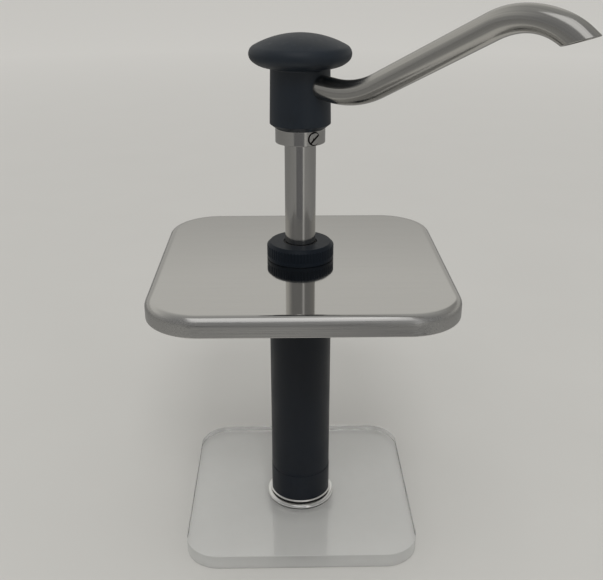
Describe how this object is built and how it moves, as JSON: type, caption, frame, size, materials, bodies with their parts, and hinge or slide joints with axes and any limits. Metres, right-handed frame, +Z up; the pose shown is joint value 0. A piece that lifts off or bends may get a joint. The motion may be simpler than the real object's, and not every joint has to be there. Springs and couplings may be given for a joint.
{
  "type": "press-top oil and sauce dispenser pump",
  "caption": "Press-top dispenser pump with a square cover plate, a black knob and a bent spout, standing in a clear block; the knob goes down on a spring and the spout swivels.",
  "frame": {"origin": "on the pump's axis, at the underside of the clear block that it stands in", "axes": "+Z up along the pump's axis, -Y towards the front edge of the cover plate, +X to the right seen from the front"},
  "size_m": [0.2176, 0.2159, 0.3505],
  "materials": {
    "clear_acrylic": "clear cast acrylic, polished, with polished edges",
    "polished_steel": "polished stainless steel",
    "rubber": "black food-grade rubber",
    "black_plastic": "black acetal, fine matte",
    "satin_steel": "satin turned stainless steel",
    "spring_steel": "drawn stainless wire",
    "white_plastic": "natural white acetal",
    "brushed_steel": "fine brushed stainless sheet"
  },
  "bodies": {
    "stand": {"stand_block": "clear_acrylic"},
    "pump": {"foot_collar": "polished_steel", "foot_seal": "rubber", "inlet_spigot": "black_plastic", "inlet_seat": "satin_steel", "valve_housing": "black_plastic", "housing_seal": "rubber", "inlet_ball_stop": "satin_steel", "barrel": "black_plastic", "return_spring": "spring_steel", "plate_gasket": "rubber", "cover_plate": "brushed_steel"},
    "inlet_valve_ball": {"inlet_ball": "satin_steel"},
    "spring_top": {"spring_washer": "white_plastic"},
    "plunger": {"piston": "white_plastic", "piston_rings": "rubber", "discharge_ball_stop": "satin_steel", "plunger_tube": "polished_steel", "spout_hub": "polished_steel", "hub_screw": "satin_steel", "tube_seal": "rubber", "spout": "polished_steel", "knob": "black_plastic"},
    "discharge_valve_ball": {"discharge_ball": "satin_steel"},
    "guide": {"guide_sleeve": "white_plastic", "wiper_seal": "rubber"},
    "cap": {"cap_nut": "black_plastic"}
  },
  "joints": [
    {"name": "pump_lift", "type": "slide", "parent": "stand", "child": "pump", "axis": [0, 0, 1], "range_m": [0, 0.06]},
    {"name": "inlet_ball_lift", "type": "slide", "parent": "pump", "child": "inlet_valve_ball", "axis": [0, 0, 1], "range_m": [0, 0.003]},
    {"name": "knob_press", "type": "slide", "parent": "pump", "child": "spring_top", "axis": [0, 0, -1], "range_m": [0, 0.05], "stiffness_N_per_m": 870, "springref_m": -0.015, "deforming": ["return_spring"]},
    {"name": "spout_swivel", "type": "hinge", "parent": "spring_top", "child": "plunger", "pos_m": [0, 0, 0.12], "axis": [0, 0, 1], "continuous": true},
    {"name": "discharge_ball_lift", "type": "slide", "parent": "plunger", "child": "discharge_valve_ball", "axis": [0, 0, 1], "range_m": [0, 0.002]},
    {"name": "guide_rise", "type": "slide", "parent": "pump", "child": "guide", "axis": [0, 0, 1], "range_m": [0, 0.0045]},
    {"name": "cap_nut_turn", "type": "hinge", "parent": "guide", "child": "cap", "pos_m": [0, 0, 0.1961], "axis": [0, 0, 1], "range_deg": [0, 1080]}
  ],
  "couplings": [
    {"joint": "cap_nut_turn", "follows": "guide_rise", "rad_per_m": 4188.8}
  ]
}
